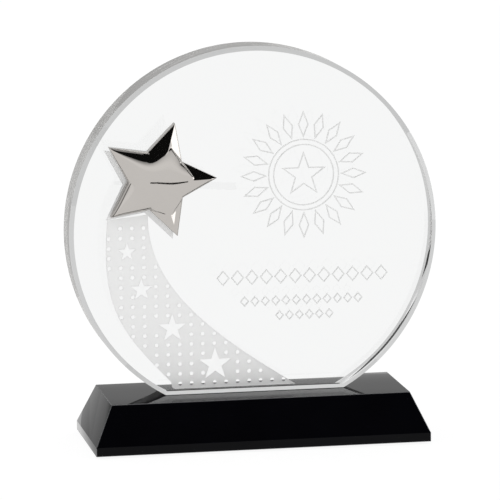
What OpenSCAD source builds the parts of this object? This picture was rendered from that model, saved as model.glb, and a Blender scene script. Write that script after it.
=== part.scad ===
// Round crystal award on a black crystal plinth.
// A thick clear disc stands on the plinth on a flat ground across its foot. Its front carries a
// frosted comet tail with clear dots and stars left in it, a frosted medallion and three frosted
// ornamental rules. A cast metal star is taped over the head of the tail.
// Millimetres. +X is to the right seen from the front, +Y to the back, +Z up. The origin is on
// the surface that the award stands on, under the middle of the plinth.

/* [Plinth] */
// Length of the plinth at its foot
plinth_w = 150; // [130:1:180]
// Depth of the plinth at its foot
plinth_d = 62; // [54:1:80]
// Height of the plinth without its feet
plinth_h = 21.5; // [16:0.5:30]
// Height of the upright band round the foot of the plinth
band_h = 4; // [2:0.5:8]
// How far each end leans in above the band
end_lean = 8; // [4:0.5:14]
// How far the front and the back lean in above the band
side_lean = 7; // [4:0.5:10]
// Width of the small flats ground along the plinth's edges
plinth_arris = 0.5; // [0.2:0.1:1]

/* [Feet] */
// Diameter of each stick-on foot
foot_d = 10; // [6:1:12]
// Thickness of each stick-on foot
foot_t = 1; // [0.8:0.1:3]
// Distance from the middle of a foot to the plinth's end and side
foot_inset = 11; // [8:1:16]

/* [Disc] */
// Diameter of the disc
disc_d = 165; // [158:1:180]
// Thickness of the disc
disc_t = 19; // [16:0.5:22]
// Height of the disc's middle above the flat at its foot
disc_rise = 72; // [71:0.5:76]
// Width of the front bevel, measured on the disc's face
bevel_face = 2; // [1:0.25:3]
// Width of the front bevel, measured on the disc's rim
bevel_rim = 1.5; // [0.5:0.25:3]
// Width of the back bevel, measured on the disc's face
back_bevel_face = 1; // [0.5:0.25:2]
// Thickness of the clear adhesive between the disc and the plinth
bond_t = 0.2; // [0.1:0.1:0.5]

/* [Metal star] */
// Distance of the star's middle to the left of the disc's middle
star_left = 43.5; // [40:0.5:46]
// Height of the star's middle above the disc's middle
star_up = 25; // [22:0.5:28]
// Radius of the star at its points
star_r = 26.3; // [24:0.1:28]
// Radius of the star at its valleys, as a share of the radius at its points
star_waist = 0.51; // [0.46:0.01:0.55]
// How far the star is turned clockwise from upright, in degrees
star_turn = 17.3; // [10:0.1:24]
// Height of the star's upright side
star_wall = 3.8; // [1:0.1:4.5]
// Height of the star's middle above its side
star_dome = 4.2; // [3:0.1:7]
// Diameter of the foam tape pad behind the star
pad_d = 18; // [10:1:20]
// How far the pad holds the star off the disc
pad_gap = 0.5; // [0.3:0.1:1.5]

/* [Frosting] */
// Depth of the sand-blasted areas
frost_depth = 0.3; // [0.2:0.1:0.6]
// Width of the frosted lines
line_w = 0.5; // [0.4:0.1:0.8]
// Sideways distance between the clear dots in the tail
dot_step_x = 5.18; // [4.5:0.02:6.5]
// Upward distance between the clear dots in the tail
dot_step_z = 4.4; // [4:0.1:6]
// Diameter of each clear dot
dot_d = 1.8; // [1:0.1:2]
// How far the frosted shadow of the metal star lies to its left
shadow_left = 1.6; // [0:0.1:2.5]
// How far the frosted shadow of the metal star lies below it
shadow_down = 1.7; // [0:0.1:2.5]
// Outer radius of the medallion
medal_r = 28.5; // [24:0.5:30]
// Number of rays round the medallion
medal_rays = 20; // [12:1:24]

/* [Hidden] */

FEET = [["foot_front_left", -1, -1], ["foot_front_right", 1, -1],
        ["foot_rear_left", -1, 1], ["foot_rear_right", 1, 1]];

plinth_top = foot_t + plinth_h;
slope_h = plinth_h - band_h;
disc_r = disc_d / 2;
flat_z = plinth_top + bond_t;
disc_z = flat_z + disc_rise;
flat_half_w = sqrt(disc_r * disc_r - disc_rise * disc_rise);
front_y = -disc_t / 2;
back_y = disc_t / 2;
// The back bevel is cut at the same angle as the front one
back_bevel_rim = back_bevel_face * bevel_rim / bevel_face;
// Clear band left between the tail and the bevel along the disc's foot
tail_foot_gap = 0.9;
tail_foot_z = -disc_rise + bevel_face + tail_foot_gap;
tail_corner_r = 2;
// Middle of the grid's first dot, left and low of the tail, measured from the disc's middle
dot_first = [-65.1, -66.8];
// Clear rim kept between a dot and the tail's outline
dot_margin = 0.05;
// Frosting kept between a dot and a clear star
dot_star_gap = 0.25;
// The medallion: its ring and its inner ring, the star in it and its rays, as shares
medal_ring = 0.56;
medal_inner_ring = 0.86;
medal_star = 0.66;
medal_ray_w = 0.95;
// The star casting's ridges, where they meet the body: how far out and how high, as shares
ridge_out = 0.5;
ridge_up = 0.8;
overlap = 1;
disc_fn = 160;
dot_fn = 20;

// Both edges of the tail as cubic curves, from the metal star down to the disc's foot,
// measured from the disc's middle
TAIL_LEFT = [[-65.5, 7.5], [-69.5, -32], [-59.5, -43.5], [-38, -66]];
TAIL_RIGHT = [[-47.5, 9.5], [-48.5, -22], [-21, -44.5], [18, -69]];
tail_steps = 28;
// The clear stars in the tail, largest at its foot: [x, z, radius]
TAIL_STARS = [[-57, -7, 4.2], [-50.8, -24, 5.1], [-37.2, -41.8, 6.5], [-18.2, -58.7, 7.6]];
small_star_waist = 0.4;
medal_at = [22.4, 24.8];
// The ornamental rules: [middle x, middle z, length, height, number of lozenges]
RULES = [[21.5, -20.3, 78, 7, 12], [21, -31.1, 56, 4.8, 12], [22.3, -37.8, 27, 4.6, 6]];

// A point on a cubic curve through the four control points p, at share t of its way
function cubic(p, t) =
    pow(1 - t, 3) * p[0] + 3 * pow(1 - t, 2) * t * p[1] + 3 * (1 - t) * t * t * p[2] + pow(t, 3) * p[3];

function cubic_line(p, steps) = [for (i = [0:steps]) cubic(p, i / steps)];

function polar(r, a) = [r * cos(a), r * sin(a)];

// Outline of a five-pointed star whose first point is at angle first
function star_outline(r, waist, first = 90) =
    [for (i = [0:9]) polar(i % 2 == 0 ? r : r * waist, first + 36 * i)];

// Distance from a star's middle to the line of one of its sides, as a share of its radius
function star_side_at(waist) = waist * sin(36) / norm([1 - waist * cos(36), waist * sin(36)]);

// The tail's edge as a table from height to x, for lookup()
function edge_table(line) = [for (p = line) [p[1], p[0]]];

tail_left = cubic_line(TAIL_LEFT, tail_steps);
tail_right = cubic_line(TAIL_RIGHT, tail_steps);
left_table = edge_table(tail_left);
right_table = edge_table(tail_right);
tail_head_z = TAIL_LEFT[0][1];

// True where a circle of radius r at [x, z] lies inside the tail, below its slanting head
function in_tail(x, z, r) =
    z > tail_foot_z + r && z < tail_head_z - 3 * r
    && x > lookup(z, left_table) + r && x < lookup(z, right_table) - r;

// Distance from [x, z] to the line of the nearest side of the clear star s
function side_gap(s, x, z) =
    let (turn = abs((atan2(z - s[1], x - s[0]) + 234) % 72 - 36))
    let (side = star_side_at(small_star_waist))
    norm([x - s[0], z - s[1]]) * cos(turn - acos(side)) - s[2] * side;

// Distance from [x, z] to the circle round the star's points, or to its side where that is more
function one_star_gap(s, x, z) = max(norm([x - s[0], z - s[1]]) - s[2], side_gap(s, x, z));

function star_gap(x, z) = min([for (s = TAIL_STARS) one_star_gap(s, x, z)]);

// Numbers of steps that take the dots' grid from its first dot past the tail's right and top
dot_columns = ceil((TAIL_RIGHT[3][0] - dot_first[0]) / dot_step_x);
dot_rows = ceil((tail_head_z - dot_first[1]) / dot_step_z);

// Plinth -------------------------------------------------------------------------------------

// Upright section through the plinth, w across its foot, leaning in by lean on each side
module lean_section(w, lean) {
    share = plinth_arris / norm([lean, slope_h]);
    right = [[w / 2 - plinth_arris, 0],
             [w / 2, plinth_arris],
             [w / 2, band_h],
             [w / 2 - lean * (1 - share), plinth_h - slope_h * share],
             [w / 2 - lean - plinth_arris, plinth_h]];
    left = [for (i = [4:-1:0]) [-right[i][0], right[i][1]]];
    polygon(concat(right, left));
}

// The plinth's plan at its foot, with the upright corners ground flat
module plinth_plan() {
    x = plinth_w / 2;
    y = plinth_d / 2;
    a = plinth_arris / sqrt(2);
    polygon([[x - a, -y], [x, -y + a], [x, y - a], [x - a, y],
             [-x + a, y], [-x, y - a], [-x, -y + a], [-x + a, -y]]);
}

// What is ground off one leaning corner
module corner_flat(side_x, side_y) {
    end_normal = [slope_h, 0, end_lean] / norm([slope_h, end_lean]);
    front_normal = [0, slope_h, side_lean] / norm([slope_h, side_lean]);
    n = (end_normal + front_normal) / norm(end_normal + front_normal);
    reach = 2 * plinth_h;
    translate([side_x * plinth_w / 2, side_y * plinth_d / 2, band_h])
        rotate([0, acos(n[2]), atan2(side_y * n[1], side_x * n[0])])
            translate([-reach, -reach, -plinth_arris / 2])
                cube([2 * reach, 2 * reach, reach]);
}

module plinth() {
    color([0.02, 0.02, 0.03])
        translate([0, 0, foot_t])
            difference() {
                intersection() {
                    rotate([90, 0, 0])
                        linear_extrude(plinth_d + overlap, center = true) lean_section(plinth_w, end_lean);
                    rotate([90, 0, 90])
                        linear_extrude(plinth_w + overlap, center = true) lean_section(plinth_d, side_lean);
                    linear_extrude(plinth_h) plinth_plan();
                }
                for (side_x = [-1, 1], side_y = [-1, 1]) corner_flat(side_x, side_y);
            }
}

module foot(side_x, side_y) {
    color([0.85, 0.86, 0.86])
        translate([side_x * (plinth_w / 2 - foot_inset), side_y * (plinth_d / 2 - foot_inset), 0])
            cylinder(h = foot_t, d = foot_d, $fn = 48);
}

// Disc ---------------------------------------------------------------------------------------

// Half section of the disc, from its front face up to its back one, turned about its axis
module disc_section() {
    polygon([[0, front_y], [disc_r - bevel_face, front_y], [disc_r, front_y + bevel_rim],
             [disc_r, back_y - back_bevel_rim], [disc_r - back_bevel_face, back_y], [0, back_y]]);
}

// What is ground off the front edge of the flat at the disc's foot; its back edge stays square
module foot_bevel() {
    rotate([90, 0, 90])
        linear_extrude(disc_d, center = true)
            polygon([[front_y + bevel_rim, flat_z],
                     [front_y, flat_z + bevel_face],
                     [front_y - overlap, flat_z + bevel_face],
                     [front_y - overlap, flat_z - overlap],
                     [front_y + bevel_rim, flat_z - overlap]]);
}

module crystal_disc() {
    color([0.93, 0.96, 0.97, 0.35])
        difference() {
            translate([0, 0, disc_z]) rotate([-90, 0, 0]) rotate_extrude($fn = disc_fn) disc_section();
            translate([-disc_r, -disc_t, flat_z - disc_r]) cube([disc_d, 2 * disc_t, disc_r]);
            foot_bevel();
            on_front(frost_depth) frosting();
        }
}

// Clear adhesive under the disc, inside the bevels
module disc_bond() {
    color([0.9, 0.92, 0.92, 0.5])
        translate([-flat_half_w, front_y + bevel_rim, plinth_top])
            cube([2 * flat_half_w, disc_t - bevel_rim - back_bevel_rim, bond_t]);
}

// Frosting -----------------------------------------------------------------------------------

// Sinks a flat shape, drawn from the disc's middle, into the disc's front by depth
module on_front(depth) {
    translate([0, front_y, disc_z])
        rotate([90, 0, 0])
            translate([0, 0, -depth])
                linear_extrude(depth + overlap) children();
}

module small_star(r) {
    polygon(star_outline(r, small_star_waist));
}

// The tail's outline, with a rounded corner where its left edge meets its foot
module tail_outline() {
    corner_at = [tail_left[tail_steps][0], tail_foot_z] + [tail_corner_r, tail_corner_r];
    corner = [for (a = [210:15:270]) corner_at + polar(tail_corner_r, a)];
    foot_right = [TAIL_RIGHT[3][0], tail_foot_z];
    up = [for (i = [tail_steps:-1:0]) if (tail_right[i][1] > tail_foot_z) tail_right[i]];
    polygon(concat(tail_left, corner, [foot_right], up));
}

// Clear dots on an even grid, wherever one fits
module tail_dots() {
    for (i = [0:dot_columns], j = [0:dot_rows]) {
        x = dot_first[0] + dot_step_x * i;
        z = dot_first[1] + dot_step_z * j;
        if (in_tail(x, z, dot_d / 2 + dot_margin) && star_gap(x, z) > dot_d / 2 + dot_star_gap)
            translate([x, z]) circle(d = dot_d, $fn = dot_fn);
    }
}

module comet_tail() {
    difference() {
        tail_outline();
        tail_dots();
        for (s = TAIL_STARS) translate([s[0], s[1]]) small_star(s[2]);
    }
}

// The frosted shadow that the metal star is set over
module star_shadow() {
    translate([-star_left - shadow_left, star_up - shadow_down])
        polygon(star_outline(star_r, star_waist, 90 - star_turn));
}

// A thin frosted line round a circle
module ring(r) {
    difference() {
        circle(r, $fn = 96);
        circle(r - line_w, $fn = 96);
    }
}

module diamond(long, wide) {
    polygon([[long / 2, 0], [0, wide / 2], [-long / 2, 0], [0, -wide / 2]]);
}

// A line of even width round a lozenge, long by wide, lying along X
module lozenge(long, wide) {
    inner = 1 - 2 * line_w * norm([long, wide]) / (long * wide);
    difference() {
        diamond(long, wide);
        diamond(long * inner, wide * inner);
    }
}

// A line of even width round a small star
module star_line(r) {
    inner = 1 - line_w / (r * star_side_at(small_star_waist));
    difference() {
        small_star(r);
        small_star(r * inner);
    }
}

// A plain sunburst: rays round a ring, with a star in the middle
module medallion() {
    ring_r = medal_r * medal_ring;
    ray_long = medal_r - ring_r - line_w;
    ray_wide = 2 * PI * ring_r / medal_rays * medal_ray_w;
    translate(medal_at) {
        for (i = [0:medal_rays - 1])
            rotate(360 / medal_rays * i)
                translate([medal_r - ray_long / 2, 0]) lozenge(ray_long, ray_wide);
        ring(ring_r);
        ring(ring_r * medal_inner_ring);
        star_line(ring_r * medal_star);
    }
}

// A row of open lozenges
module rule(long, high, count) {
    step = long / count;
    for (i = [0:count - 1])
        translate([step * (i + 0.5) - long / 2, 0]) lozenge(step - line_w, high);
}

module frosting() {
    comet_tail();
    star_shadow();
    medallion();
    for (r = RULES) translate([r[0], r[1]]) rule(r[2], r[3], r[4]);
}

// Metal star ---------------------------------------------------------------------------------

// A star-shaped casting: an upright side, five ridges and a raised middle. Its ridges rise
// quickly from the points and flatten towards the middle.
module star_casting() {
    first = 90 - star_turn;
    outline = star_outline(star_r, star_waist, first);
    ridges = [for (i = [0:4]) polar(star_r * ridge_out, first + 72 * i)];
    points = concat([for (p = outline) [p[0], p[1], 0]],
                    [for (p = outline) [p[0], p[1], star_wall]],
                    [for (p = ridges) [p[0], p[1], star_wall + star_dome * ridge_up]],
                    [[0, 0, star_wall + star_dome]]);
    // Where each kind of point starts in the list; outline points alternate tip and valley
    side_top = 10;
    ridge_at = 20;
    middle = 25;
    back = [[for (i = [0:9]) i]];
    side = [for (i = [0:9]) [i, side_top + i, side_top + (i + 1) % 10, (i + 1) % 10]];
    arm_left = [for (i = [0:4]) [side_top + 2 * i, ridge_at + i, side_top + 2 * i + 1]];
    arm_right = [for (i = [0:4]) [side_top + 2 * i, side_top + (2 * i + 9) % 10, ridge_at + i]];
    body_left = [for (i = [0:4]) [ridge_at + i, middle, side_top + 2 * i + 1]];
    body_right = [for (i = [0:4]) [ridge_at + i, side_top + (2 * i + 9) % 10, middle]];
    polyhedron(points, concat(back, side, arm_left, arm_right, body_left, body_right));
}

module metal_star() {
    color([0.75, 0.74, 0.72])
        translate([-star_left, front_y - pad_gap, disc_z + star_up])
            rotate([90, 0, 0]) star_casting();
}

// Foam tape between the frosted floor and the star's back
module star_tape_pad() {
    color([0.9, 0.9, 0.88])
        translate([-star_left, front_y + frost_depth, disc_z + star_up])
            rotate([90, 0, 0]) cylinder(h = frost_depth + pad_gap, d = pad_d, $fn = 64);
}

plinth();
crystal_disc();
disc_bond();
metal_star();
star_tape_pad();
for (f = FEET)
    foot(f[1], f[2]);
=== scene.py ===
"""A round crystal award on a black crystal plinth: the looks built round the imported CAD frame.

The disc, the metal star, the plinth, the tape pad and the feet are modelled here as finished
meshes that stand for their CAD nodes. The adhesive film keeps its CAD mesh. Everything is in
metres in the frame's own axes: +X right, +Y back, +Z up.
"""
import math

import bmesh
import bpy
import numpy as np
from mathutils import Matrix, Vector, geometry

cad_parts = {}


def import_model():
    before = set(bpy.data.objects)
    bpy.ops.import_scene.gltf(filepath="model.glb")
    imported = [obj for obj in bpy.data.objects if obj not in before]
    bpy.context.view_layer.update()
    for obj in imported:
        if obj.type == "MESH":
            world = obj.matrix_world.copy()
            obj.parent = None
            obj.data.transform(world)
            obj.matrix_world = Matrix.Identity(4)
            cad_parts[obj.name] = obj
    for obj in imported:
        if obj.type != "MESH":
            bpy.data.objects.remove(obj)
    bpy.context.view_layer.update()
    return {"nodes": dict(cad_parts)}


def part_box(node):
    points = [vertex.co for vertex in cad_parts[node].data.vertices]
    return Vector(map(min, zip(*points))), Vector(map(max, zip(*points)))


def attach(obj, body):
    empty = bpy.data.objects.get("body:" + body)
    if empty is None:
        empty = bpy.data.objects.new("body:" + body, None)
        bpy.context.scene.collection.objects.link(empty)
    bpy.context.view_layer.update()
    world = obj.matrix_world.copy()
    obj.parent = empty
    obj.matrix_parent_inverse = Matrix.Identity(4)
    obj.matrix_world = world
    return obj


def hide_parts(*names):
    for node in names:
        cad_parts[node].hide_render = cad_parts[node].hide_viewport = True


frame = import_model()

MM = 0.001
SCENE = bpy.context.scene
# A square's corners in order, as shares of its half side
SQUARE = ((-1, -1), (1, -1), (1, 1), (-1, 1))
# The angle from a star's point to the valley beside it, in degrees
STAR_ANGLE = 36

# Sizes, in millimetres -------------------------------------------------------------------

# The camera: where it looks, how far off it stands and how it is tilted
CAMERA_TARGET = (-0.3, 0.0, 85.1)
CAMERA_AZIMUTH = -10.3
CAMERA_ELEVATION = 9.2
CAMERA_ROLL = -0.53
CAMERA_DISTANCE = 1779.0
CAMERA_LENS = 288.0

# The disc: the width of its front bevel on the face and on the rim, of its back bevel, and the
# frosting sunk into its front
BEVEL_FACE = 2.0
BEVEL_RIM = 1.5
BEVEL_BACK = 1.0
FROST_DEPTH = 0.3
LINE_W = 0.5
RIM_STEPS = 320

# The comet tail: its edges as cubic curves from the metal star down, its clear stars as
# (x, z, radius) and the grid of its clear dots, measured from the disc's middle
TAIL_LEFT = ((-65.5, 7.5), (-69.5, -32.0), (-59.5, -43.5), (-38.0, -66.0))
TAIL_RIGHT = ((-47.5, 9.5), (-48.5, -22.0), (-21.0, -44.5), (18.0, -69.0))
TAIL_STEPS = 48
TAIL_FOOT_GAP = 0.9
TAIL_CORNER_R = 2.0
TAIL_STARS = ((-57.0, -7.0, 4.2), (-50.8, -24.0, 5.1), (-37.2, -41.8, 6.5), (-18.2, -58.7, 7.6))
SMALL_STAR_WAIST = 0.4
DOT_D = 1.8
DOT_FIRST = (-65.1, -66.8)
DOT_STEP = (5.18, 4.4)
DOT_MARGIN = 0.05
DOT_STAR_GAP = 0.25
DOT_STEPS = 16

# How far the metal star's frosted shadow lies to its left and below it
SHADOW_LEFT = 1.6
SHADOW_DOWN = 1.7

# The medallion: its ring as a share of its radius, and the rest as shares of the ring
MEDAL_AT = (22.4, 24.8)
MEDAL_R = 28.5
MEDAL_RAYS = 20
MEDAL_RING = 0.56
MEDAL_INNER_RING = 0.86
MEDAL_STAR = 0.66
MEDAL_RAY_W = 0.95
MEDAL_STEPS = 96
# The ornamental rules: (middle x, middle z, length, height, number of lozenges)
RULES = ((21.5, -20.3, 78.0, 7.0, 12), (21.0, -31.1, 56.0, 4.8, 12), (22.3, -37.8, 27.0, 4.6, 6))

# The metal star: its outline, its turn, and the heights of its upright side and of its front
STAR_R = 26.3
STAR_WAIST = 0.51
STAR_TURN = 17.3
STAR_WALL = 3.8
STAR_DOME = 4.2
# Its pillowed body: how slowly it rises, and how far in the quarter round at its outline ends
STAR_SOFTNESS = 0.57
STAR_ROLL = 1.3
# The body stands full over three valleys, as if these points of the outline lay this far out
STAR_FULL_VALLEYS = {1: 14.4, 7: 17.0, 9: 17.0}
# A shallow crown over the whole body: its height, and how far in it has risen
STAR_CROWN = 0.6
STAR_CROWN_ROLL = 2.0
# Where a crease that parts a ridged arm from the body ends, on the arm's ridge
STAR_CREASE_CAP = 15.4
# A ridged arm's sides: their slope in degrees, and two rises along the outline that add to it,
# each as (height, how far in it ends)
STAR_ARM_SLOPE = 22.0
STAR_ARM_BULGE = (0.7, 3.5)
STAR_ARM_ROLL = (0.2, 0.8)
# Ridged arms: how far round from the first point, in degrees, how far out the creases pass on
# the left and on the right of the ridge (0 where there is none), and their extra blur on the left
STAR_RIDGED_ARMS = ((0, 10.3, 13.1, 1.2), (-72, 13.1, 0.0, 0.0), (-144, 13.1, 13.1, 0.0))
# Across a ridge, in millimetres, where the left side's crease takes over from the right side's
STAR_RIDGE_TURN = (-1.2, 0.5)
# The same for an arm that has no right side, which ends at its ridge
STAR_RIDGE_END = (-0.3, 0.3)
STAR_CREASE_BLUR = 0.35
# Where a blurred crease reaches its full blur and where it fades out, in degrees from the ridge
STAR_BLUR_IN = (-2, 25)
STAR_FADE_OUT = (28, 48)
# The casting's mesh: rings from its outline to its middle, closest together at the outline
STAR_RINGS = 120
STAR_RING_CROWDING = 1.7
STAR_SIDE_STEPS = 28
STAR_WALL_STEPS = 3

PLINTH_BAND = 4.0
PLINTH_LEAN = (8.0, 7.0)
PLINTH_ARRIS = 0.5

# The soft pieces: the tape's bulge, and how far a foot's dome draws in, as a share of its height
TAPE_BULGE = 0.15
FOOT_DRAW_IN = 0.9
SOFT_STEPS = 8

# The studio, in metres, and its brightness with 1 as plain white ---------------------------

FLOOR_REACH = 12.0
FLOOR_GLOW = 0.92
# What is seen through the clear crystal: a patch behind it, its sides, front, top and upper left
GLASS_PATCH = 0.925
GLASS_SIDES = 0.58
GLASS_FRONT = 0.95
GLASS_ABOVE = 1.05
GLASS_SHADE = 0.03
# The ceiling: its brightness, the height of its edge in front and behind, its drop to the right
CEILING_GLOW = 0.015
CEILING_FRONT = 0.28
CEILING_BACK = 0.75
CEILING_DROP = -0.12
# Upright cards: name, start and end on the floor, lowest and highest point, brightness
WALL_CARDS = (
    ("light_card_right_near", (0.25, -0.23), (0.25, -0.16), 0.0, 0.195, 2.2),
    ("light_card_right", (0.25, -0.16), (0.25, 0.0), 0.075, 0.195, 2.2),
    ("dark_card_right", (0.25, 0.0), (0.25, 0.3), 0.0, 0.195, 0.03),
    ("dark_card_back_right", (0.17, 0.30), (0.40, 0.30), 0.0, 0.4, 0.03),
    ("dark_card_left", (-0.35, -0.20), (-0.35, -0.10), 0.12, 0.30, 0.0),
    ("light_card_left", (-0.35, -0.075), (-0.35, 0.035), 0.17, 0.50, 0.8),
)
# A slanting dark bar in front, mirrored as the line across the metal star
BAR_Y = -0.1
BAR_CORNERS = ((-0.049, 0.1046), (0.008, 0.10015), (0.008, 0.10385), (-0.049, 0.1064))
BAR_GLOW = 0.02
# Grey strips on the floor: name, x from and to, middle y, width, brightness
FLOOR_STRIPS = (
    ("grey_floor_close", -1.5, -0.085, 0.17, 0.26, 0.6),
    ("grey_floor_near", -0.5, -0.05, 0.9, 1.2, 0.7),
    ("grey_floor_far", -4.0, -0.05, 6.25, 9.5, 0.68),
)
STRIP_Z = 0.0005

# The share of the rim's outside that scatters dully, in a flat grey whose tone is a painted reflection
# of the light the polished rim shows
RIM_PAINTED_REFLECTION = 0.6
CRYSTAL_IOR = 1.52


# Frame sizes -----------------------------------------------------------------------------

def size_mm(node):
    """A CAD node's lowest corner and highest corner, in millimetres."""
    low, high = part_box(node)
    return low / MM, high / MM


disc_low, disc_high = size_mm("crystal_disc")
plinth_low, plinth_high = size_mm("plinth")
star_low, star_high = size_mm("metal_star")
pad_low, pad_high = size_mm("star_tape_pad")

disc_r = (disc_high.x - disc_low.x) / 2
disc_z = disc_high.z - disc_r
disc_rise = disc_z - disc_low.z
front_y = disc_low.y
back_y = disc_high.y
star_at = ((pad_low.x + pad_high.x) / 2, (pad_low.z + pad_high.z) / 2)


# Mesh helpers ----------------------------------------------------------------------------

def finish_mesh(name, bm, materials, sharp_deg=None):
    """Turns a bmesh in millimetres into a closed, smooth-shaded object."""
    bmesh.ops.remove_doubles(bm, verts=bm.verts, dist=1e-4)
    bmesh.ops.recalc_face_normals(bm, faces=bm.faces)
    mesh = bpy.data.meshes.new(name)
    bm.to_mesh(mesh)
    bm.free()
    mesh.transform(Matrix.Scale(MM, 4))
    for material in materials:
        mesh.materials.append(material)
    mesh.polygons.foreach_set("use_smooth", [True] * len(mesh.polygons))
    if sharp_deg is not None:
        mesh.set_sharp_from_angle(angle=math.radians(sharp_deg))
    piece = bpy.data.objects.new(name, mesh)
    SCENE.collection.objects.link(piece)
    return piece


def stand_in(piece, node):
    """The piece rides the root and stands for a CAD node, which is hidden."""
    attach(piece, "root")
    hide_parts(node)


def lathe(name, profile, centre, axis, materials, steps=96, sharp_deg=30):
    """A turned piece: profile is (radius, height) from one end of the axis to the other."""
    bm = bmesh.new()
    turn = Vector((0, 0, 1)).rotation_difference(Vector(axis)).to_matrix()

    def vert(x, y, z):
        return bm.verts.new(Vector(centre) + turn @ Vector((x, y, z)))

    rings = []
    for radius, height in profile:
        if radius == 0:
            rings.append([vert(0, 0, height)])
            continue
        angles = [2 * math.pi * i / steps for i in range(steps)]
        rings.append([vert(radius * math.cos(a), radius * math.sin(a), height) for a in angles])
    for low, high in zip(rings, rings[1:]):
        for i in range(steps):
            j = (i + 1) % steps
            corners = [low[i % len(low)], low[j % len(low)], high[j % len(high)], high[i % len(high)]]
            corners = list(dict.fromkeys(corners))
            if len(corners) > 2:
                bm.faces.new(corners)
    return finish_mesh(name, bm, materials, sharp_deg)


# Material helpers ------------------------------------------------------------------------

def new_material(name):
    """A material with its Principled shader: (material, node tree, shader)."""
    material = bpy.data.materials.new(name)
    material.use_nodes = True
    tree = material.node_tree
    return material, tree, tree.nodes["Principled BSDF"]


def new_clear_material(name, clearness, ior):
    """The same for a material that lets light through."""
    material, tree, shader = new_material(name)
    shader.inputs["Transmission Weight"].default_value = clearness
    shader.inputs["IOR"].default_value = ior
    return material, tree, shader


def noise(tree, scale, detail=4.0, rough=0.55):
    """A noise texture over the piece's own position, in metres."""
    place = tree.nodes.new("ShaderNodeTexCoord")
    node = tree.nodes.new("ShaderNodeTexNoise")
    node.inputs["Scale"].default_value = scale
    node.inputs["Detail"].default_value = detail
    node.inputs["Roughness"].default_value = rough
    tree.links.new(place.outputs["Object"], node.inputs["Vector"])
    return node.outputs["Fac"]


def spread(tree, value, low, high, out_low, out_high):
    """Maps a value from low..high to out_low..out_high."""
    node = tree.nodes.new("ShaderNodeMapRange")
    node.inputs["From Min"].default_value = low
    node.inputs["From Max"].default_value = high
    node.inputs["To Min"].default_value = out_low
    node.inputs["To Max"].default_value = out_high
    tree.links.new(value, node.inputs["Value"])
    return node.outputs["Result"]


def blend_colour(tree, share, colour_a, colour_b):
    """A colour between two, at a share from 0 to 1."""
    node = tree.nodes.new("ShaderNodeMix")
    node.data_type = "RGBA"
    tree.links.new(share, node.inputs["Factor"])
    node.inputs["A"].default_value = (*colour_a, 1)
    node.inputs["B"].default_value = (*colour_b, 1)
    return node.outputs["Result"]


def colour(tree, shader, share, colour_a, colour_b):
    """The shader's base colour, between two colours."""
    tree.links.new(blend_colour(tree, share, colour_a, colour_b), shader.inputs["Base Color"])


def roughness(tree, shader, value, low, high, out_low, out_high):
    """The shader's roughness, mapped from a value."""
    tree.links.new(spread(tree, value, low, high, out_low, out_high), shader.inputs["Roughness"])


def scatter(tree, kind):
    """A plain scattering shader of a kind: (its colour socket, its output)."""
    node = tree.nodes.new(kind)
    return node.inputs["Color"], node.outputs[0]


def blend_shaders(tree, share, first, second):
    """Mixes two shader outputs, with share as a number or a socket."""
    node = tree.nodes.new("ShaderNodeMixShader")
    if isinstance(share, float):
        node.inputs[0].default_value = share
    else:
        tree.links.new(share, node.inputs[0])
    tree.links.new(first, node.inputs[1])
    tree.links.new(second, node.inputs[2])
    return node.outputs[0]


def show(tree, output):
    """Makes a shader output the material's surface."""
    tree.links.new(output, tree.nodes["Material Output"].inputs["Surface"])


def bump(tree, shader, height, strength, distance):
    node = tree.nodes.new("ShaderNodeBump")
    node.inputs["Strength"].default_value = strength
    node.inputs["Distance"].default_value = distance
    tree.links.new(height, node.inputs["Height"])
    tree.links.new(node.outputs["Normal"], shader.inputs["Normal"])


# Materials -------------------------------------------------------------------------------

def clear_crystal():
    material, tree, shader = new_clear_material("clear_crystal", 1.0, CRYSTAL_IOR)
    haze = noise(tree, 60.0)
    roughness(tree, shader, haze, 0.4, 0.8, 0.0, 0.004)
    colour(tree, shader, haze, (0.985, 0.992, 0.99), (0.995, 0.998, 0.997))
    return material


def frosted_crystal():
    """Sand-blasted crystal: rough glass, with part of the light scattered in its broken skin."""
    material, tree, shader = new_clear_material("frosted_crystal", 1.0, CRYSTAL_IOR)
    shader.inputs["Base Color"].default_value = (0.97, 0.975, 0.975, 1)
    grain = noise(tree, 5200.0, 2.0)
    roughness(tree, shader, grain, 0.3, 0.7, 0.42, 0.6)
    bump(tree, shader, grain, 0.25, 0.00004)
    glow_colour, glow = scatter(tree, "ShaderNodeBsdfTranslucent")
    glow_colour.default_value = (0.9, 0.9, 0.89, 1)
    skin_colour, skin = scatter(tree, "ShaderNodeBsdfDiffuse")
    tree.links.new(blend_colour(tree, grain, (0.86, 0.86, 0.855), (0.95, 0.95, 0.945)), skin_colour)
    broken = blend_shaders(tree, 0.88, glow, skin)
    show(tree, blend_shaders(tree, 0.75, shader.outputs[0], broken))
    return material


def rim_crystal():
    """The disc's rim: polished, with a share of dull grey on its outside whose tone is a painted
    reflection of the light the rim shows.
    """
    material, tree, shader = new_clear_material("rim_crystal", 1.0, CRYSTAL_IOR)
    haze = noise(tree, 150.0)
    roughness(tree, shader, haze, 0.3, 0.7, 0.0, 0.004)
    colour(tree, shader, haze, (0.96, 0.955, 0.945), (0.98, 0.975, 0.965))
    # A dull grey whose tone stands in for the rim's mixed reflections: a painted reflection
    painted_reflection_colour, painted_reflection = scatter(tree, "ShaderNodeBsdfDiffuse")
    tree.links.new(blend_colour(tree, haze, (0.46, 0.455, 0.445), (0.52, 0.515, 0.505)), painted_reflection_colour)
    face = tree.nodes.new("ShaderNodeNewGeometry")
    share = spread(tree, face.outputs["Backfacing"], 0.0, 1.0, RIM_PAINTED_REFLECTION, 0.0)
    show(tree, blend_shaders(tree, share, shader.outputs[0], painted_reflection))
    return material


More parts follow.
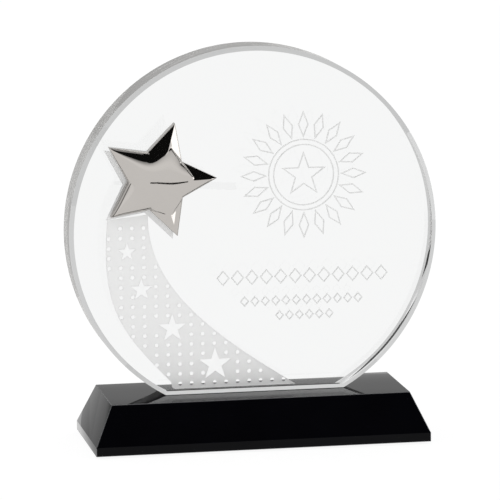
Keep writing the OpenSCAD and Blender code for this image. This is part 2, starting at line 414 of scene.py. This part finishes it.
def bonded_crystal():
    """The disc's flat, wetted by the adhesive, shows the black plinth under it."""
    material, tree, shader = new_material("bonded_crystal")
    colour(tree, shader, noise(tree, 90.0), (0.006, 0.006, 0.008), (0.014, 0.014, 0.017))
    shader.inputs["Roughness"].default_value = 0.25
    return material


def black_crystal():
    material, tree, shader = new_material("black_crystal")
    colour(tree, shader, noise(tree, 45.0), (0.0008, 0.0008, 0.0012), (0.002, 0.002, 0.003))
    shader.inputs["IOR"].default_value = 1.17
    roughness(tree, shader, noise(tree, 220.0), 0.35, 0.75, 0.012, 0.03)
    return material


def ground_edge():
    """The plinth's narrow edge flats, ground but not polished."""
    material, tree, shader = new_material("ground_edge")
    grain = noise(tree, 1800.0)
    colour(tree, shader, grain, (0.05, 0.05, 0.055), (0.12, 0.12, 0.125))
    roughness(tree, shader, grain, 0.3, 0.7, 0.3, 0.45)
    bump(tree, shader, grain, 0.2, 0.00003)
    return material


def polished_metal():
    material, tree, shader = new_material("polished_metal")
    shader.inputs["Metallic"].default_value = 1.0
    colour(tree, shader, noise(tree, 70.0), (0.49, 0.465, 0.44), (0.53, 0.505, 0.48))
    roughness(tree, shader, noise(tree, 900.0), 0.3, 0.8, 0.02, 0.06)
    bump(tree, shader, noise(tree, 160.0, 2.0), 0.05, 0.0002)
    return material


def foam_tape():
    material, tree, shader = new_material("foam_tape")
    cells = noise(tree, 2600.0)
    colour(tree, shader, cells, (0.62, 0.62, 0.6), (0.86, 0.86, 0.84))
    shader.inputs["Roughness"].default_value = 0.9
    bump(tree, shader, cells, 0.5, 0.0001)
    return material


def clear_rubber():
    material, tree, shader = new_clear_material("clear_rubber", 0.8, 1.47)
    haze = noise(tree, 400.0)
    colour(tree, shader, haze, (0.8, 0.81, 0.8), (0.9, 0.91, 0.9))
    roughness(tree, shader, haze, 0.3, 0.7, 0.15, 0.3)
    return material


def clear_adhesive():
    material, tree, shader = new_clear_material("clear_adhesive", 0.9, 1.5)
    haze = noise(tree, 500.0)
    colour(tree, shader, haze, (0.75, 0.77, 0.76), (0.92, 0.93, 0.92))
    roughness(tree, shader, haze, 0.3, 0.7, 0.05, 0.15)
    return material


# Outlines --------------------------------------------------------------------------------

def polar(radius, degrees):
    a = math.radians(degrees)
    return np.array((radius * math.cos(a), radius * math.sin(a)))


def star_outline(radius, waist, first=90.0, at=(0, 0)):
    """A five-pointed star whose first point is at angle first; points and valleys alternate."""
    radii = [radius * (waist if i % 2 else 1) for i in range(10)]
    return [np.array(at) + polar(r, first + STAR_ANGLE * i) for i, r in enumerate(radii)]


def star_side_at(waist):
    """Distance from a star's middle to the line of one of its sides, as a share of its radius."""
    valley = polar(waist, STAR_ANGLE)
    return valley[1] / math.hypot(1 - valley[0], valley[1])


def circle_outline(radius, steps, at=(0, 0)):
    return [np.array(at) + polar(radius, 360 * i / steps) for i in range(steps)]


def cubic(points, t):
    """A point on a cubic curve through four control points, at share t of its way."""
    a, b, c, d = np.array(points)
    return (1 - t) ** 3 * a + 3 * (1 - t) ** 2 * t * b + 3 * (1 - t) * t * t * c + t ** 3 * d


def cubic_line(points, steps):
    return [cubic(points, i / steps) for i in range(steps + 1)]


def lozenge_outlines(long, wide, at, turn=0.0):
    """The outer and inner outlines of a thin lozenge, lying along the direction turn."""
    inner = 1 - 2 * LINE_W * math.hypot(long, wide) / (long * wide)
    along, across = polar(1, turn), polar(1, turn + 90)
    loops = []
    for share in (1, inner):
        reach = [along * long / 2, across * wide / 2, -along * long / 2, -across * wide / 2]
        loops.append([np.array(at) + share * r for r in reach])
    return loops


def star_gap(x, z):
    """Distance to the nearest clear star, at least: to the circle round its points or to its side."""
    side = star_side_at(SMALL_STAR_WAIST)
    gaps = []
    for star_x, star_z, radius in TAIL_STARS:
        reach = math.hypot(x - star_x, z - star_z)
        heading = math.degrees(math.atan2(z - star_z, x - star_x))
        # The angle to the nearest of the five points, of which the first is at 90 degrees
        turn = abs((heading - 90 + STAR_ANGLE) % (2 * STAR_ANGLE) - STAR_ANGLE)
        side_gap = reach * math.cos(math.radians(turn) - math.acos(side)) - radius * side
        gaps.append(max(reach - radius, side_gap))
    return min(gaps)


def edge_x(line, z):
    """The x of one of the tail's edges, a line that runs downwards, at a height."""
    return np.interp(z, [p[1] for p in line[::-1]], [p[0] for p in line[::-1]])


def tail_dots(left, right, foot_z):
    """Clear dots on an even grid, wherever one fits between the tail's edges and its stars."""
    columns = math.ceil((TAIL_RIGHT[3][0] - DOT_FIRST[0]) / DOT_STEP[0])
    rows = math.ceil((TAIL_LEFT[0][1] - DOT_FIRST[1]) / DOT_STEP[1])
    reach = DOT_D / 2 + DOT_MARGIN
    loops = []
    for i in range(columns + 1):
        for j in range(rows + 1):
            x, z = DOT_FIRST[0] + DOT_STEP[0] * i, DOT_FIRST[1] + DOT_STEP[1] * j
            # The dots stop well below the tail's head, which lies behind the metal star
            in_height = foot_z + reach < z < TAIL_LEFT[0][1] - 3 * reach
            in_width = edge_x(left, z) + reach < x < edge_x(right, z) - reach
            if in_height and in_width and star_gap(x, z) > DOT_D / 2 + DOT_STAR_GAP:
                loops.append(circle_outline(DOT_D / 2, DOT_STEPS, (x, z)))
    return loops


def tail_loops():
    """The comet tail's outline, then the stars and dots left clear in it."""
    foot_z = -disc_rise + BEVEL_FACE + TAIL_FOOT_GAP
    left = cubic_line(TAIL_LEFT, TAIL_STEPS)
    right = [p for p in cubic_line(TAIL_RIGHT, TAIL_STEPS) if p[1] > foot_z]
    corner_at = np.array((left[-1][0] + TAIL_CORNER_R, foot_z + TAIL_CORNER_R))
    corner = [corner_at + polar(TAIL_CORNER_R, a) for a in range(210, 271, 10)]
    outline = left + corner + [np.array((TAIL_RIGHT[3][0], foot_z))] + right[::-1]
    stars = [star_outline(r, SMALL_STAR_WAIST, at=(x, z)) for x, z, r in TAIL_STARS]
    return [outline] + stars + tail_dots(left, right, foot_z)


def star_shadow_loops():
    """The frosted shadow that the metal star is set over."""
    at = (star_at[0] - SHADOW_LEFT, star_at[1] - disc_z - SHADOW_DOWN)
    return [star_outline(STAR_R, STAR_WAIST, 90 - STAR_TURN, at)]


def medallion_loops():
    """A plain sunburst: rays round two thin rings, with a star in the middle."""
    ring_r = MEDAL_R * MEDAL_RING
    ray_long = MEDAL_R - ring_r - LINE_W
    ray_wide = 2 * math.pi * ring_r / MEDAL_RAYS * MEDAL_RAY_W
    star_r = ring_r * MEDAL_STAR
    star_line = 1 - LINE_W / (star_r * star_side_at(SMALL_STAR_WAIST))
    loops = []
    for i in range(MEDAL_RAYS):
        turn = 360 / MEDAL_RAYS * i
        middle = MEDAL_AT + polar(MEDAL_R - ray_long / 2, turn)
        loops += lozenge_outlines(ray_long, ray_wide, middle, turn)
    for outer in (ring_r, ring_r * MEDAL_INNER_RING):
        for radius in (outer, outer - LINE_W):
            loops.append(circle_outline(radius, MEDAL_STEPS, MEDAL_AT))
    for share in (1, star_line):
        loops.append(star_outline(star_r * share, SMALL_STAR_WAIST, at=MEDAL_AT))
    return loops


def rule_loops():
    """The ornamental rules: rows of thin open lozenges."""
    loops = []
    for x, z, long, high, count in RULES:
        step = long / count
        for i in range(count):
            loops += lozenge_outlines(step - LINE_W, high, (x + step * (i + 0.5) - long / 2, z))
    return loops


# Pieces ----------------------------------------------------------------------------------

# Places in the disc's and the plinth's lists of materials
CLEAR, FROSTED, BONDED, RIM = range(4)
POLISHED, GROUND = range(2)


def inside(loops, points):
    """For each point, whether it lies inside an odd number of the loops."""
    odd = np.zeros(len(points), bool)
    for loop in loops:
        p = np.array(loop)
        near = np.all((points > p.min(0)) & (points < p.max(0)), axis=1)
        x, z = points[near].T
        hits = np.zeros(len(x), bool)
        for (ax, az), (bx, bz) in zip(p, np.roll(p, -1, axis=0)):
            if az == bz:
                continue
            crosses = (az > z) != (bz > z)
            hits ^= crosses & (x < ax + (z - az) / (bz - az) * (bx - ax))
        odd[near] ^= hits
    return odd


def disc_outline(radius, rise):
    """The disc's outline at a radius, cut flat at rise below its middle: one arc, left to right."""
    half = math.degrees(math.acos(rise / radius))
    return [polar(radius, 270 - half - (360 - 2 * half) * i / RIM_STEPS) for i in range(RIM_STEPS + 1)]


def frosted_front(bm, outline):
    """The disc's front face, with the frosted areas sunk into it."""
    groups = [tail_loops(), star_shadow_loops(), medallion_loops() + rule_loops()]
    coords, edges = [], []
    for loop in [outline] + [loop for group in groups for loop in group]:
        first = len(coords)
        coords += [Vector(p) for p in loop]
        edges += [(first + i, first + (i + 1) % len(loop)) for i in range(len(loop))]
    points, _, triangles, *_ = geometry.delaunay_2d_cdt(coords, edges, [], 0, 1e-5)
    points = np.array([tuple(p) for p in points])
    middles = np.array([points[list(t)].mean(0) for t in triangles])
    frosted = np.any([inside(group, middles) for group in groups], axis=0)
    made = {}

    def vert(i, deep):
        if (i, deep) not in made:
            x, z = points[i]
            made[i, deep] = bm.verts.new((x, front_y + (FROST_DEPTH if deep else 0), disc_z + z))
        return made[i, deep]

    sides = {}
    for t, deep in zip(triangles, frosted.tolist()):
        face = bm.faces.new([vert(i, deep) for i in t])
        face.material_index = FROSTED if deep else CLEAR
        for a, b in zip(t, t[1:] + t[:1]):
            sides.setdefault(frozenset((a, b)), []).append(deep)
    for (a, b), depths in sides.items():
        if len(set(depths)) == 2:
            wall = bm.faces.new([vert(a, False), vert(b, False), vert(b, True), vert(a, True)])
            wall.material_index = FROSTED


def strip(bm, low, high, material=CLEAR):
    """Joins two lines of points with quads."""
    for a, b, c, d in zip(low, low[1:], high[1:], high):
        bm.faces.new([bm.verts.new(p) for p in (a, b, c, d)]).material_index = material


def at_depth(outline, y):
    """An outline of the disc, set upright at a depth."""
    return [Vector((p[0], y, disc_z + p[1])) for p in outline]


def crystal_disc():
    """The disc: sunk front, bevels, rim, plain back and the bonded flat at its foot."""
    bm = bmesh.new()
    front = disc_outline(disc_r - BEVEL_FACE, disc_rise - BEVEL_FACE)
    rim = disc_outline(disc_r, disc_rise)
    back = disc_outline(disc_r - BEVEL_BACK, disc_rise)
    rim_front = front_y + BEVEL_RIM
    rim_back = back_y - BEVEL_BACK * BEVEL_RIM / BEVEL_FACE
    frosted_front(bm, front)
    strip(bm, at_depth(front, front_y), at_depth(rim, rim_front))
    strip(bm, at_depth([front[0], front[-1]], front_y), at_depth([rim[0], rim[-1]], rim_front))
    strip(bm, at_depth(rim, rim_front), at_depth(rim, rim_back), RIM)
    strip(bm, at_depth(rim, rim_back), at_depth(back, back_y))
    bm.faces.new([bm.verts.new(p) for p in at_depth(back, back_y)])
    flat = at_depth([rim[0], rim[-1]], rim_front) + at_depth([rim[-1]], rim_back)
    flat += at_depth([back[-1], back[0]], back_y) + at_depth([rim[0]], rim_back)
    bm.faces.new([bm.verts.new(p) for p in flat]).material_index = BONDED
    materials = [clear_crystal(), frosted_crystal(), bonded_crystal(), rim_crystal()]
    piece = finish_mesh("crystal_disc_cut", bm, materials, sharp_deg=20)
    stand_in(piece, "crystal_disc")


def pillow(points, outline):
    """1 at the star's middle, falling smoothly to 0 along its outline.

    For each side this takes the angle that the side fills, seen from the point, over the distance
    to the side's line. One over their sum is a smooth stand-in for the distance to the outline.
    """
    total = np.zeros(len(points))
    for a, b in zip(outline, np.roll(outline, -1, axis=0)):
        long = np.linalg.norm(b - a)
        along = (b - a) / long
        across = np.array((along[1], -along[0]))
        reach = np.maximum(np.abs((points - a) @ across), 1e-5)
        start = (points - a) @ along
        total += (np.arctan(start / reach) + np.arctan((long - start) / reach)) / reach
    return 1 / total


def side_distance(points, outline):
    """Distance from each point to the nearest side of the outline."""
    nearest = np.full(len(points), np.inf)
    for a, b in zip(outline, np.roll(outline, -1, axis=0)):
        side = b - a
        share = np.clip(((points - a) @ side) / (side @ side), 0, 1)
        nearest = np.minimum(nearest, np.linalg.norm(points - a - share[:, None] * side, axis=1))
    return nearest


def smooth_step(value, low, high):
    t = np.clip((value - low) / (high - low), 0, 1)
    return t * t * (3 - 2 * t)


def rolled(share):
    """A quarter-round rise from 0 at share 0 to 1 at share 1."""
    return np.sqrt(1 - (1 - np.clip(share, 0, 1)) ** 2)


def body_height(points, outline, edge):
    """The pillowed body, which drops in a quarter round along the outline."""
    full = outline.copy()
    for i, radius in STAR_FULL_VALLEYS.items():
        full[i] *= radius / np.linalg.norm(full[i])
    soft = pillow(points, full)
    far = np.linalg.norm(points, axis=1)
    crown = STAR_CROWN * (1 - (far / STAR_R) ** 2) * rolled(edge / STAR_CROWN_ROLL)
    swell = (soft / soft.max()) ** STAR_SOFTNESS * rolled(edge / STAR_ROLL)
    return (STAR_DOME - STAR_CROWN) * swell + crown


def arm_height(edge):
    """A ridged arm: straight slopes up from the outline, a little fuller near it."""
    bulge, bulge_wide = STAR_ARM_BULGE
    roll, roll_wide = STAR_ARM_ROLL
    fuller = bulge * (1 - (1 - np.clip(edge / bulge_wide, 0, 1)) ** 2)
    return edge * math.tan(math.radians(STAR_ARM_SLOPE)) + fuller + roll * rolled(edge / roll_wide)


def star_height(points, outline):
    """How far the casting's front stands above the top of its upright side."""
    edge = side_distance(points, outline)
    far = np.linalg.norm(points, axis=1)
    height = body_height(points, outline, edge)
    arm = arm_height(edge)
    heading = np.degrees(np.arctan2(points[:, 1], points[:, 0]))
    for first, left, right, fade in STAR_RIDGED_ARMS:
        turn = (heading - (90 - STAR_TURN + first) + 180) % 360 - 180
        within = STAR_ANGLE - np.clip(np.abs(turn), 0, STAR_ANGLE)
        across = far * np.sin(np.radians(turn))
        on_left = smooth_step(across, *STAR_RIDGE_TURN)
        chord = left * on_left + (right or left) * (1 - on_left)
        crease = np.minimum(chord / np.cos(np.radians(within)), STAR_CREASE_CAP)
        blur = STAR_CREASE_BLUR + fade * smooth_step(turn, *STAR_BLUR_IN)
        share = smooth_step(far - crease, -blur, blur) * (turn > -STAR_ANGLE)
        share = share * (1 - smooth_step(turn, *STAR_FADE_OUT) if fade else turn < STAR_ANGLE)
        if not right:
            share = share * smooth_step(across, *STAR_RIDGE_END)
        height = height * (1 - share) + arm * share
    return height * STAR_DOME / height.max()


def star_rings(outline):
    """Rings of points from the star's outline to its middle: the outermost one, then the others."""
    edge = []
    for a, b in zip(outline, np.roll(outline, -1, axis=0)):
        edge += [a + (b - a) * k / STAR_SIDE_STEPS for k in range(STAR_SIDE_STEPS)]
    edge = np.array(edge)
    inner = [edge * (1 - (j / STAR_RINGS) ** STAR_RING_CROWDING) for j in range(1, STAR_RINGS)]
    return edge, inner + [np.zeros((1, 2))]


def metal_star():
    """The casting: an upright side, a pillowed body, and ridged arms that leave it at a crease."""
    outline = np.array(star_outline(STAR_R, STAR_WAIST, 90 - STAR_TURN))
    edge, inner = star_rings(outline)
    count = len(edge)
    heights = star_height(np.vstack(inner), outline)
    back_at = star_high.y
    bm = bmesh.new()

    def ring_verts(ring, heights):
        places = [(star_at[0] + x, back_at - h, star_at[1] + z) for (x, z), h in zip(ring, heights)]
        return [bm.verts.new(place) for place in places]

    loops = []
    for k in range(STAR_WALL_STEPS + 1):
        loops.append(ring_verts(edge, np.full(count, STAR_WALL * k / STAR_WALL_STEPS)))
    for j, ring in enumerate(inner):
        loops.append(ring_verts(ring, STAR_WALL + heights[j * count:j * count + len(ring)]))
    top = loops.pop()[0]
    for low, high in zip(loops, loops[1:]):
        for i in range(count):
            j = (i + 1) % count
            bm.faces.new((low[i], low[j], high[j], high[i]))
    for i in range(count):
        bm.faces.new((loops[-1][i], loops[-1][(i + 1) % count], top))
    bm.faces.new(loops[0])
    piece = finish_mesh("star_casting", bm, [polished_metal()], sharp_deg=32)
    stand_in(piece, "metal_star")


def plinth():
    """The black block, with every edge ground to a narrow flat."""
    x, y = plinth_high.x, plinth_high.y
    levels = [(x, y, plinth_low.z), (x, y, plinth_low.z + PLINTH_BAND),
              (x - PLINTH_LEAN[0], y - PLINTH_LEAN[1], plinth_high.z)]
    bm = bmesh.new()
    rings = []
    for half_w, half_d, z in levels:
        rings.append([bm.verts.new((sx * half_w, sy * half_d, z)) for sx, sy in SQUARE])
    for low, high in zip(rings, rings[1:]):
        for i in range(4):
            bm.faces.new((low[i], low[(i + 1) % 4], high[(i + 1) % 4], high[i]))
    bm.faces.new(rings[0])
    bm.faces.new(rings[-1])
    bmesh.ops.bevel(bm, geom=list(bm.edges), offset=PLINTH_ARRIS / 2, offset_type="OFFSET", segments=2,
                    profile=0.7, affect="EDGES", material=GROUND)
    # The crease above the band is polished with the faces beside it
    crease_z = plinth_low.z + PLINTH_BAND
    for face in bm.faces:
        if all(abs(v.co.z - crease_z) < PLINTH_ARRIS for v in face.verts):
            face.material_index = POLISHED
    piece = finish_mesh("plinth_block", bm, [black_crystal(), ground_edge()], sharp_deg=12)
    stand_in(piece, "plinth")


def tape_pad():
    """Foam tape, squeezed a little outward between the disc and the star."""
    radius = (pad_high.x - pad_low.x) / 2
    thick = pad_high.y - pad_low.y
    profile = [(0, 0)]
    for i in range(SOFT_STEPS + 1):
        a = math.pi * i / SOFT_STEPS
        profile.append((radius - TAPE_BULGE * (1 - math.sin(a)), thick * (1 - math.cos(a)) / 2))
    profile.append((0, thick))
    centre = (star_at[0], pad_high.y, star_at[1])
    piece = lathe("star_tape", profile, centre, (0, -1, 0), [foam_tape()])
    stand_in(piece, "star_tape_pad")


def foot(node, rubber):
    """A stick-on foot: a low dome pressed flat where it stands."""
    low, high = size_mm(node)
    radius = (high.x - low.x) / 2
    tall = high.z - low.z
    profile = [(0, 0)]
    for i in range(SOFT_STEPS + 1):
        a = math.pi / 2 * i / SOFT_STEPS
        profile.append((radius - tall * (1 - math.sin(a)) * FOOT_DRAW_IN, tall * (1 - math.cos(a))))
    profile += [(radius, tall), (0, tall)]
    centre = ((low.x + high.x) / 2, (low.y + high.y) / 2, low.z)
    piece = lathe(node.replace("foot", "bumper"), profile, centre, (0, 0, 1), [rubber], steps=64)
    stand_in(piece, node)


# Stage, lights and camera ----------------------------------------------------------------

def stage_quad(name, corners, grey, glow):
    """A flat part of the studio that glows and has no gloss."""
    material, _, shader = new_material(name)
    shader.inputs["Base Color"].default_value = (grey, grey, grey, 1)
    shader.inputs["Roughness"].default_value = 1.0
    shader.inputs["Specular IOR Level"].default_value = 0.0
    shader.inputs["Emission Color"].default_value = (1, 1, 1, 1)
    shader.inputs["Emission Strength"].default_value = glow
    mesh = bpy.data.meshes.new(name)
    mesh.from_pydata(corners, [], [(0, 1, 2, 3)])
    mesh.materials.append(material)
    piece = bpy.data.objects.new(name, mesh)
    SCENE.collection.objects.link(piece)
    return piece


def floor():
    """The pale floor. What the clear crystal shows of it is in the world, as a soft bright patch."""
    corners = [(x * FLOOR_REACH, y * FLOOR_REACH, 0) for x, y in SQUARE]
    piece = stage_quad("floor", corners, 0.1, FLOOR_GLOW)
    piece.visible_transmission = False


def card(name, corners, strength):
    """A flat light or dark card of the studio that only mirror-like surfaces pick up."""
    piece = stage_quad(name, corners, 0.0, strength)
    for kind in ("camera", "diffuse", "transmission", "volume_scatter", "shadow"):
        setattr(piece, "visible_" + kind, False)


def wall_card(name, start, end, low, high, strength):
    """An upright card between two places on the floor."""
    (ax, ay), (bx, by) = start, end
    card(name, [(ax, ay, low), (bx, by, low), (bx, by, high), (ax, ay, high)], strength)


def floor_strip(name, x_from, x_to, y, wide, strength):
    """A grey strip that lies on the floor along X."""
    near, far = y - wide / 2, y + wide / 2
    corners = [(x_from, near), (x_to, near), (x_to, far), (x_from, far)]
    card(name, [(*corner, STRIP_Z) for corner in corners], strength)


def cards():
    """The cards that the metal star, the rim and the plinth mirror."""
    for wall in WALL_CARDS:
        wall_card(*wall)
    card("dark_bar_front", [(x, BAR_Y, z) for x, z in BAR_CORNERS], BAR_GLOW)
    for grey_strip in FLOOR_STRIPS:
        floor_strip(*grey_strip)


class Grading:
    """Sums on the direction that a ray takes to the world, built as nodes."""

    def __init__(self, tree):
        self.nodes, self.links = tree.nodes, tree.links
        place = self.nodes.new("ShaderNodeTexCoord")
        parts = self.nodes.new("ShaderNodeSeparateXYZ")
        self.links.new(place.outputs["Generated"], parts.inputs[0])
        self.x, self.y, self.z = parts.outputs

    def ramp(self, value, low, high, out_low, out_high):
        """A smooth step from out_low, where the value is low, to out_high, where it is high."""
        node = self.nodes.new("ShaderNodeMapRange")
        node.interpolation_type = "SMOOTHSTEP"
        limits = {"From Min": low, "From Max": high, "To Min": out_low, "To Max": out_high}
        for key, number in limits.items():
            node.inputs[key].default_value = number
        self.links.new(value, node.inputs["Value"])
        return node.outputs["Result"]

    def maths(self, kind, *values):
        """One sum, whose values are numbers or sockets."""
        node = self.nodes.new("ShaderNodeMath")
        node.operation = kind
        for socket, value in zip(node.inputs, values):
            if isinstance(value, float):
                socket.default_value = value
            else:
                self.links.new(value, socket)
        return node.outputs[0]

    def product(self, *values):
        """All the values multiplied."""
        total = values[0]
        for value in values[1:]:
            total = self.maths("MULTIPLY", total, value)
        return total

    def most(self, *values):
        """The largest of the values."""
        total = values[0]
        for value in values[1:]:
            total = self.maths("MAXIMUM", total, value)
        return total

    def blend(self, share, first, second):
        """The first value where the share is 0, the second where it is 1."""
        rest = self.maths("SUBTRACT", 1.0, share)
        return self.maths("ADD", self.product(rest, first), self.product(share, second))


def mirrored_light(sky):
    """What mirror-like surfaces see: a pale studio under a dark ceiling with a light in it."""
    x, y, z = sky.x, sky.y, sky.z
    behind = sky.ramp(y, 0.0, 0.5, 0.0, 1.0)

    # The ceiling's edge is at about 16 degrees in front, lower on the right, and 45 degrees behind
    level_edge = sky.ramp(y, 0.3, 0.8, CEILING_FRONT, CEILING_BACK)
    above = sky.maths("SUBTRACT", z, sky.maths("ADD", sky.product(x, CEILING_DROP), level_edge))
    overhead_light = sky.ramp(z, 0.92, 0.96, 0.0, 1.0)
    ceiling = sky.most(sky.ramp(above, -0.02, 0.02, 1.0, CEILING_GLOW), overhead_light)

    # In front it is plain white that darkens just under the ceiling's edge
    under_edge = sky.ramp(above, -0.2, -0.01, 1.0, 0.4)
    front = sky.product(sky.ramp(z, -0.08, 0.05, 0.95, 1.1), under_edge)

    # Behind it is grey, darker on the left, with a paler band low down
    grey = sky.product(sky.ramp(z, 0.11, 0.34, 0.5, 0.8), sky.ramp(x, -0.3, 0.0, 0.4, 1.0))
    back = sky.most(grey, sky.ramp(z, 0.045, 0.1, 0.78, 0.0))
    return sky.product(ceiling, sky.blend(behind, front, back))


def crystal_light(sky):
    """What is seen through the clear crystal."""
    x, y, z = sky.x, sky.y, sky.z

    # A bright patch behind it, a little right of square and below level
    turn = sky.maths("ARCTAN2", x, y)
    across = sky.product(sky.ramp(turn, 0.0, 0.1, 0.0, 1.0), sky.ramp(turn, 0.25, 0.35, 1.0, 0.0))
    upright = sky.product(sky.ramp(z, -0.33, -0.24, 0.0, 1.0), sky.ramp(z, -0.08, 0.04, 1.0, 0.0))
    patch = sky.ramp(sky.product(across, upright), 0.0, 1.0, GLASS_SIDES, GLASS_PATCH)
    in_front = sky.ramp(y, -0.3, 0.0, GLASS_FRONT, 0.0)
    overhead = sky.ramp(z, 0.05, 0.5, GLASS_SIDES, GLASS_ABOVE)
    light = sky.most(in_front, patch, overhead)

    # The upper left is dark, which draws the dark line in the rim at the lower right
    aside = sky.product(sky.ramp(x, -0.3, -0.15, 1.0, 0.0), sky.ramp(y, 0.6, 0.8, 1.0, 0.0))
    shade = sky.product(aside, sky.ramp(z, -0.12, -0.02, 0.0, 1.0))
    return sky.product(light, sky.ramp(shade, 0.0, 1.0, 1.0, GLASS_SHADE))


def world():
    """The studio all round, with a light of its own for each kind of ray.

    The camera and dull surfaces see plain white.
    """
    studio = bpy.data.worlds.new("studio")
    studio.use_nodes = True
    SCENE.world = studio
    nodes = studio.node_tree.nodes
    sky = Grading(studio.node_tree)
    path = nodes.new("ShaderNodeLightPath")
    lit = nodes["Background"]
    lit.inputs["Color"].default_value = (1, 1, 1, 1)
    strength = sky.blend(path.outputs["Is Glossy Ray"], 1.0, mirrored_light(sky))
    strength = sky.blend(path.outputs["Is Transmission Ray"], strength, crystal_light(sky))
    sky.links.new(strength, lit.inputs["Strength"])


def camera():
    data = bpy.data.cameras.new("camera")
    data.lens = CAMERA_LENS
    data.sensor_width = 36.0
    data.clip_start = 0.05
    data.clip_end = 50.0
    azimuth, elevation = math.radians(CAMERA_AZIMUTH), math.radians(CAMERA_ELEVATION)
    level = math.cos(elevation)
    back = Vector((math.sin(azimuth) * level, -math.cos(azimuth) * level, math.sin(elevation)))
    aim = back.to_track_quat("Z", "Y").to_matrix().to_4x4()
    roll = Matrix.Rotation(math.radians(CAMERA_ROLL), 4, "Z")
    place = Matrix.Translation((Vector(CAMERA_TARGET) + back * CAMERA_DISTANCE) * MM)
    eye = bpy.data.objects.new("camera", data)
    eye.matrix_world = place @ aim @ roll
    SCENE.collection.objects.link(eye)
    SCENE.camera = eye


camera()
world()
floor()
cards()
SCENE.view_settings.view_transform = "Standard"

crystal_disc()
metal_star()
plinth()
tape_pad()
rubber = clear_rubber()
for name in sorted(frame["nodes"]):
    if name.startswith("foot_"):
        foot(name, rubber)
film = frame["nodes"]["disc_bond"]
film.data.materials.clear()
film.data.materials.append(clear_adhesive())
